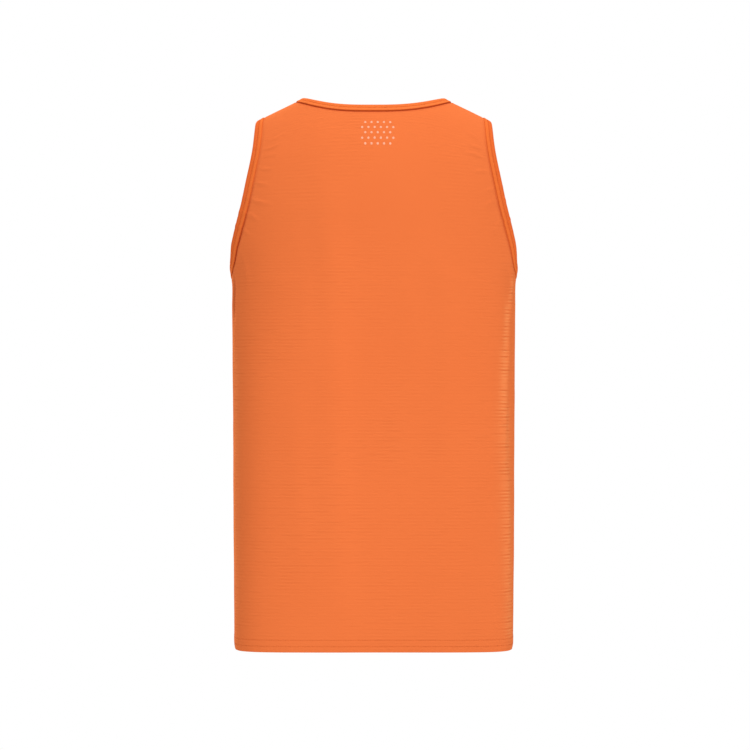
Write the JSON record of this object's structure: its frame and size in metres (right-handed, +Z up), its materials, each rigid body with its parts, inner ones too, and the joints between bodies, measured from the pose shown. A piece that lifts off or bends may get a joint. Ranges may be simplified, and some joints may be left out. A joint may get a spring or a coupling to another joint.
{
  "type": "sleeveless running vest",
  "caption": "Sleeveless knitted running vest in its worn, hollow form, with a round neck, deep armholes, self-coloured bindings and a straight turned hem.",
  "frame": {"origin": "on the centre line, half-way up the shoulder seams and level with the side seams, where the wearer's shoulders carry the vest", "axes": "+Z up, the wearer faces -Y so the back panel is on the +Y side, +X to the wearer's left"},
  "size_m": [0.3666, 0.2151, 0.6992],
  "materials": {
    "orange_knit": "fine knit, slight sheen",
    "orange_binding": "folded knit strip, stitched"
  },
  "bodies": {
    "root": {"back": "orange_knit", "front": "orange_knit", "neck_binding": "orange_binding", "armhole_binding_left": "orange_binding", "armhole_binding_right": "orange_binding"}
  },
  "joints": []
}
